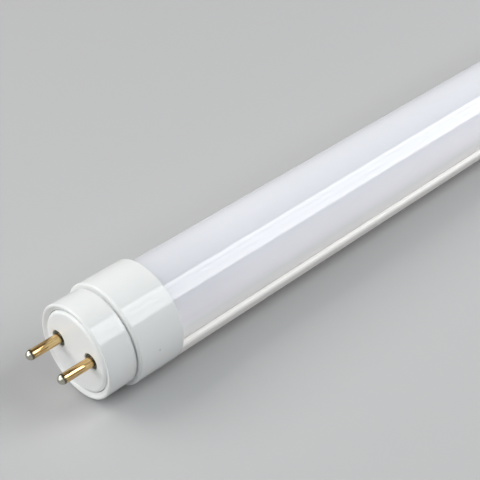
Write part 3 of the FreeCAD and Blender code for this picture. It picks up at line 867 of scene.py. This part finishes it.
@dataclass
class Tube:
    """The extruded base and the milky cover that slides into it.

    Attributes:
        places: The lamp's places.
        wall: The thickness of the base's wall.
        shelf_drop: How far the shelf's top lies below the axis.
        shelf: The thickness of the shelf.
        slot_half: Half the width of the board's slot.
        slot_height: How high the board's slot is.
        hook: How far each rail hooks over the board.
        rail_radius: The outer radius of the board's rails.
        rail_drop: How far the rails' tops lie below the axis.
        groove_radius: The outer radius of the cover's grooves.
        groove_drop: How far the bottoms of the grooves lie below the axis.
        rim_drop: How far the tops of the base's outer lips lie below the axis.
        rim_round: The radius that the outer lips' edges are rounded to.
        cavity_half: Half the width of the cavity under the shelf.
        cavity_drop: How far below the axis the cavity widens to the wall.
        cover_wall: The thickness of the cover.
        cover_drop: How far the cover's edges lie below the axis.
    """

    places: Places
    wall: float = 1.4 * MM
    shelf_drop: float = 3.4 * MM
    shelf: float = 1.2 * MM
    slot_half: float = 9.95 * MM
    slot_height: float = 1.3 * MM
    hook: float = 0.55 * MM
    rail_radius: float = 11.45 * MM
    rail_drop: float = 0.4 * MM
    groove_radius: float = 12.85 * MM
    groove_drop: float = 5.2 * MM
    rim_drop: float = 3.75 * MM
    rim_round: float = 1.0 * MM
    cavity_half: float = 8.9 * MM
    cavity_drop: float = 6.4 * MM
    cover_wall: float = 1.2 * MM
    cover_drop: float = 5.0 * MM

    @staticmethod
    def across(radius: float, drop: float) -> float:
        """Give how far from the middle a circle about the axis lies at a drop below it."""
        return math.sqrt(radius * radius - drop * drop)

    @staticmethod
    def swing(mesh: BMesh, start: BMVert, centre: Spot, angle: float, steps: int) -> BMVert:
        """Swing a vertex about a line along X.

        Args:
            mesh: The mesh to draw in.
            start: The vertex that the arc starts from.
            centre: Where the line lies, across and up.
            angle: The angle that it swings through.
            steps: How many steps the arc has.

        Returns:
            The vertex at the arc's end.
        """
        made = bmesh.ops.spin(mesh, geom=[start], cent=(0, *centre), axis=(1, 0, 0), dvec=(0, 0, 0),
                              angle=angle, steps=steps, use_merge=False)
        return verts_of(made["geom_last"])[0]

    def arc(self, mesh: BMesh, start: BMVert, radius: float, drop: float, steps: int) -> BMVert:
        """Swing a vertex about the axis to a drop below it, on the same side.

        Args:
            mesh: The mesh to draw in.
            start: The vertex that the arc starts from.
            radius: The arc's radius.
            drop: The drop of the arc's end below the axis.
            steps: How many steps the arc has.

        Returns:
            The vertex at the arc's end.
        """
        begin = math.asin(max(-1.0, start.co.z / radius))
        return self.swing(mesh, start, (0, 0), -math.asin(drop / radius) - begin, steps)

    @staticmethod
    def line(mesh: BMesh, start: BMVert, *points: Spot) -> BMVert:
        """Draw straight edges from a vertex through points.

        Args:
            mesh: The mesh to draw in.
            start: The vertex that they start from.
            *points: How far across and up each point lies.

        Returns:
            The vertex at the last point.
        """
        for point in points:
            finish = mesh.verts.new((0.0, *point))
            mesh.edges.new((start, finish))
            start = finish
        return start

    def outside(self, mesh: BMesh) -> None:
        """Draw the base's outline on one side, from the shelf's middle round to the bottom.

        Args:
            mesh: The mesh to draw in.
        """
        radius, shelf = self.places.base_radius, -self.shelf_drop
        under_hook, hook_half = shelf + self.slot_height, self.slot_half - self.hook
        at = self.line(mesh, mesh.verts.new((0.0, 0.0, shelf)), (self.slot_half, shelf), (self.slot_half, under_hook),
                       (hook_half, under_hook), (hook_half, -self.rail_drop),
                       (self.across(self.rail_radius, self.rail_drop), -self.rail_drop))
        at = self.arc(mesh, at, self.rail_radius, self.groove_drop, steps=10)
        at = self.line(mesh, at, (self.across(self.groove_radius, self.groove_drop), -self.groove_drop))
        at = self.arc(mesh, at, self.groove_radius, self.rim_drop, steps=6)
        low = self.rim_drop + self.rim_round
        middle = self.across(radius - self.rim_round, low)
        at = self.line(mesh, at, (middle, -self.rim_drop))
        at = self.swing(mesh, at, (middle, -low), -math.pi / 2 - math.atan2(low, middle), steps=10)
        self.arc(mesh, at, radius, radius, steps=40)

    def cavity(self, mesh: BMesh) -> None:
        """Draw the outline of the cavity on one side.

        Args:
            mesh: The mesh to draw in.
        """
        inner = self.places.base_radius - self.wall
        top, wide = -self.shelf_drop - self.shelf, -self.cavity_drop
        at = self.line(mesh, mesh.verts.new((0.0, 0.0, top)), (self.cavity_half, top), (self.cavity_half, wide),
                       (self.across(inner, self.cavity_drop), wide))
        self.arc(mesh, at, inner, inner, steps=30)

    def base(self, material: Material) -> None:
        """Extrude the base.

        Args:
            material: Its material.
        """
        mesh = bmesh.new()
        self.outside(mesh)
        self.cavity(mesh)
        bmesh.ops.mirror(mesh, geom=list(mesh.verts) + list(mesh.edges), matrix=Matrix.Identity(4),
                         merge_dist=TOUCH, axis="Y")
        bmesh.ops.remove_doubles(mesh, verts=list(mesh.verts), dist=TOUCH)
        bmesh.ops.triangle_fill(mesh, use_beauty=True, use_dissolve=False, edges=list(mesh.edges))
        half = self.places.base_half
        bmesh.ops.translate(mesh, verts=list(mesh.verts), vec=(-half, 0.0, 0.0))
        made = bmesh.ops.extrude_face_region(mesh, geom=list(mesh.faces))
        bmesh.ops.translate(mesh, verts=verts_of(made["geom"]), vec=(half * 2, 0.0, 0.0))
        bmesh.ops.recalc_face_normals(mesh, faces=list(mesh.faces))
        dress(set_down(mesh, "base_extrusion", (0.0, 0.0, self.places.axis)), material, "base_profile")

    def cover(self, material: Material) -> None:
        """Swing the cover's wall round the axis from one groove to the other.

        Args:
            material: Its material.
        """
        mesh = bmesh.new()
        half, outer = self.places.cover_half, self.places.cover_radius
        inner = outer - self.cover_wall
        corners = ((-half, outer), (half, outer), (half, inner), (-half, inner))
        mesh.faces.new([mesh.verts.new((x, 0.0, radius)) for x, radius in corners])
        start = math.pi / 2 + math.asin(self.cover_drop / outer)
        bmesh.ops.rotate(mesh, verts=list(mesh.verts), cent=(0, 0, 0), matrix=Matrix.Rotation(start, 3, "X"))
        bmesh.ops.spin(mesh, geom=list(mesh.faces), cent=(0, 0, 0), axis=(1, 0, 0), dvec=(0, 0, 0),
                       angle=-2 * start, steps=120, use_merge=False)
        bmesh.ops.remove_doubles(mesh, verts=list(mesh.verts), dist=TOUCH)
        bmesh.ops.recalc_face_normals(mesh, faces=list(mesh.faces))
        dress(set_down(mesh, "milky_cover", (0.0, 0.0, self.places.axis)), material, "diffuser")


@dataclass
class Inside:
    """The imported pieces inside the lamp, which keep their shapes and get their finishes."""

    def finishes(self) -> dict[tuple[str, ...], InnerFinish]:
        """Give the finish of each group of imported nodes.

        Returns:
            The finish for each group of node names.
        """
        return {
            ("led_board",): InnerFinish("solder_mask", (0.80, 0.80, 0.78), (0.74, 0.74, 0.72), 0.35, grain=300.0),
            ("led_chips",): InnerFinish("phosphor", (0.85, 0.68, 0.16), (0.80, 0.60, 0.10), 0.4),
            ("driver_sleeve",): InnerFinish("grey_film", (0.16, 0.17, 0.18), (0.12, 0.13, 0.14), 0.45),
            ("driver_board",): InnerFinish("pressed_paper", (0.42, 0.30, 0.11), (0.34, 0.23, 0.08), 0.6),
            ("fuse_resistor",): InnerFinish("enamel", (0.22, 0.34, 0.27), (0.18, 0.28, 0.22), 0.35),
            ("filter_inductor", "transformer_core"): InnerFinish("ferrite", (0.05, 0.05, 0.055), (0.08, 0.08, 0.09)),
            ("film_capacitor",): InnerFinish("film_box", (0.62, 0.42, 0.05), (0.55, 0.36, 0.04), 0.4),
            ("bridge_rectifier", "controller_chip", "output_diode"):
                InnerFinish("moulded_black", (0.02, 0.02, 0.022), (0.035, 0.035, 0.038), 0.55),
            ("input_capacitor", "output_capacitor"):
                InnerFinish("black_sleeve", (0.012, 0.012, 0.014), (0.03, 0.03, 0.034), 0.3),
            ("transformer_winding",): InnerFinish("yellow_tape", (0.65, 0.50, 0.07), (0.58, 0.43, 0.05), 0.35),
            ("front_lead_left", "front_lead_right", "rear_pin_bridge"):
                InnerFinish("white_wire", (0.75, 0.75, 0.73), (0.68, 0.68, 0.66), 0.4),
            ("output_lead_left",): InnerFinish("red_wire", (0.45, 0.02, 0.015), (0.38, 0.015, 0.01), 0.4),
            ("output_lead_right",): InnerFinish("black_wire", (0.012, 0.012, 0.012), (0.03, 0.03, 0.03), 0.4),
        }

    def build(self) -> None:
        """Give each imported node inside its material."""
        for nodes, finish in self.finishes().items():
            material = finish.make()
            for node in nodes:
                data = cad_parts[node].data
                data.materials.clear()
                data.materials.append(material)
                log.info("%s: finish %s", node, finish.name)


@dataclass(frozen=True)
class Softbox:
    """A flat lamp that faces the object.

    Attributes:
        name: The lamp's name.
        centre: Where its middle is.
        aim: The point that it faces.
        width: Its size across, in metres.
        length: Its size along the tube, in metres.
        level: How bright its face is, where 1 is white.
        colour: The colour of its light.
        slats: The parts of its width that shine, as shares from its lower edge.
    """

    name: str
    centre: Place
    aim: Place
    width: float
    length: float
    level: float
    colour: Colour = (1.0, 1.0, 1.0)
    slats: tuple[Range, ...] = ((0.0, 1.0),)

    def build(self) -> None:
        """Hang the lamp, one light for each of its slats."""
        back = (Vector(self.centre) - Vector(self.aim)).normalized()
        side = Vector((1.0, 0.0, 0.0))
        side = (side - back * side.dot(back)).normalized()
        up = back.cross(side)
        for low, high in self.slats:
            data = bpy.data.lights.new(self.name, "AREA")
            data.shape = "RECTANGLE"
            data.size = self.length
            data.size_y = self.width * (high - low)
            data.energy = self.level * math.pi * data.size_y * self.length
            data.color = self.colour
            lamp = bpy.data.objects.new(self.name, data)
            centre = Vector(self.centre) + up * (self.width * ((low + high) / 2 - 0.5))
            lamp.matrix_world = Matrix.Translation(centre) @ Matrix((side, up, back)).transposed().to_4x4()
            bpy.context.scene.collection.objects.link(lamp)
        log.info("%s: level %.2f", self.name, self.level)


@dataclass
class Studio:
    """The floor, the lamps and the light all round.

    Attributes:
        places: The lamp's places.
        floor_colour: The floor's colour.
        floor_drift: How dark the floor's faint patches are beside it.
        floor_half: Half the floor's size, in metres.
        floor_fade: Between which distances from the middle the floor fades into the backdrop, in metres.
        room: The faint light of the room all round.
        backdrop: The colour of the backdrop that is seen past the floor.
        ceiling: The colour of the room over the backdrop.
        backdrop_top: Between which heights, where 1 is straight up, the backdrop turns into the ceiling.
    """

    places: Places
    floor_colour: Colour = (0.500, 0.494, 0.496)
    floor_drift: float = 0.985
    floor_half: float = 4.0
    floor_fade: Range = (0.45, 1.0)
    room: Colour = (0.050, 0.060, 0.062)
    backdrop: Colour = (0.52, 0.52, 0.525)
    ceiling: Colour = (0.24, 0.22, 0.20)
    backdrop_top: Range = (0.55, 0.85)

    def floor(self) -> None:
        """Lay the floor, which only seems to fade into the backdrop: its light on the lamp is a plain floor's."""
        mesh = bmesh.new()
        bmesh.ops.create_grid(mesh, x_segments=1, y_segments=1, size=self.floor_half)
        data = bpy.data.meshes.new("floor")
        mesh.to_mesh(data)
        mesh.free()
        piece = bpy.data.objects.new("floor", data)
        bpy.context.scene.collection.objects.link(piece)
        shader = Shader("floor_card")
        patches = tuple(part * self.floor_drift for part in self.floor_colour)
        colour = shader.mix(shader.noise(scale=6.0, detail=3.0), self.floor_colour, patches)
        along, across, _ = shader.split()
        squares = (shader.work("MULTIPLY", way, way) for way in (along, across))
        away = shader.work("SQRT", shader.work("ADD", *squares))
        far = shader.work("MULTIPLY", shader.spread(away, *self.floor_fade), shader.seeing_rays())
        shader.settle({"Base Color": shader.mix(far, colour, BLACK), "Roughness": 0.85, "Specular IOR Level": 0.0,
                       "Emission Color": shader.mix(far, BLACK, self.backdrop), "Emission Strength": 1.0})
        data.materials.append(shader.material)

    def world(self) -> None:
        """Light the scene faintly from all round, and hang a pale backdrop behind the floor."""
        world = bpy.data.worlds.new("room")
        bpy.context.scene.world = world
        world.use_nodes = True
        room = Nodes(world.node_tree, "Generated")
        _, _, height = room.split()
        seen = room.mix(room.spread(height, *self.backdrop_top), self.backdrop, self.ceiling)
        room.feed(room.nodes["Background"].inputs["Color"], room.mix(room.seeing_rays(), self.room, seen))

    def lamps(self) -> tuple[Softbox, ...]:
        """Give the lamps.

        Returns:
            The softboxes of the studio.
        """
        front = (-0.25, 0.0, 0.0)
        return (
            Softbox("left_softbox", centre=(-0.721, 0.886, 1.115), aim=front, width=1.0, length=0.9, level=3.6,
                    colour=(1.0, 0.965, 0.945)),
            Softbox("near_softbox", centre=(-1.124, -0.408, 1.149), aim=front, width=0.9, length=0.9, level=1.85,
                    colour=(0.85, 1.0, 1.0)),
            Softbox("front_softbox", centre=(-0.93, 0.25, 0.42), aim=(-0.30, 0.0, 0.0), width=0.75, length=0.95,
                    level=1.9),
            Softbox("rear_softbox", centre=(0.99, -0.20, 0.26), aim=(0.30, 0.0, 0.0), width=0.5, length=0.45,
                    level=2.7, colour=(0.88, 1.0, 1.0)),
            Softbox("band_softbox", centre=(0.475, -0.570, 0.711), aim=(0.475, 0.0, self.places.axis), width=0.655,
                    length=0.85, level=5.9, colour=(0.98, 0.985, 1.0),
                    slats=((0.0, 0.375), (0.402, 0.693), (0.722, 1.0))),
        )

    def build(self) -> None:
        """Set the studio up."""
        self.floor()
        self.world()
        for lamp in self.lamps():
            lamp.build()


@dataclass(frozen=True)
class PhotoCamera:
    """The camera at the photo's viewing angle.

    Attributes:
        place: Where it stands, in metres.
        focal: Its focal length in the picture's pixels.
        picture: The picture's width in pixels.
        sensor: The width of its sensor in millimetres.
        pitch: How far it looks down, in degrees.
        yaw: How far it looks round from +X towards +Y, in degrees.
        roll: How far it is turned clockwise, in degrees.
        sight: The nearest and furthest distance that it sees, in metres.
    """

    place: Place = (-0.4197, -0.1927, 0.2099)
    focal: float = 1208.4
    picture: float = 480.0
    sensor: float = 36.0
    pitch: float = 35.79
    yaw: float = 46.55
    roll: float = 1.99
    sight: Range = (0.01, 50.0)

    def build(self) -> None:
        """Set the camera up."""
        pitch, yaw, roll = (math.radians(angle) for angle in (self.pitch, self.yaw, self.roll))
        ahead = Vector((math.cos(pitch) * math.cos(yaw), math.cos(pitch) * math.sin(yaw), -math.sin(pitch)))
        level = Vector((math.sin(yaw), -math.cos(yaw), 0.0))
        above = level.cross(ahead)
        right = level * math.cos(roll) - above * math.sin(roll)
        up = level * math.sin(roll) + above * math.cos(roll)
        data = bpy.data.cameras.new("photo_camera")
        data.sensor_width = self.sensor
        data.lens = self.focal / self.picture * self.sensor
        data.clip_start, data.clip_end = self.sight
        camera = bpy.data.objects.new("photo_camera", data)
        camera.matrix_world = Matrix.Translation(self.place) @ Matrix((right, up, -ahead)).transposed().to_4x4()
        bpy.context.scene.collection.objects.link(camera)
        bpy.context.scene.camera = camera


def main() -> None:
    """Dress the lamp and set the studio up."""
    logging.basicConfig(level=logging.INFO, format="%(message)s")
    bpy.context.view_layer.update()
    bpy.context.scene.view_settings.view_transform = "Standard"
    places = Places.from_frame()
    PhotoCamera().build()
    tube = Tube(places)
    tube.base(PaintedExtrusion().make())
    tube.cover(MilkyPlastic(places).make())
    shell = MouldedPlastic("cap_plastic", colour=(0.81, 0.81, 0.805), shade=(0.79, 0.79, 0.785), roughness=0.08,
                           speck=(-0.27925, -0.0145, 0.01447)).make()
    plate = MouldedPlastic("plate_plastic", colour=(0.835, 0.835, 0.83), shade=(0.815, 0.815, 0.812),
                           roughness=0.3).make()
    for end in End:
        cap = EndCap(places, end)
        cap.build(shell, plate, TurnedBrass(places, cap.pin_reach, f"turned_brass_{end.value}").make())
    Inside().build()
    Studio(places).build()


if __name__ == "__main__":
    main()
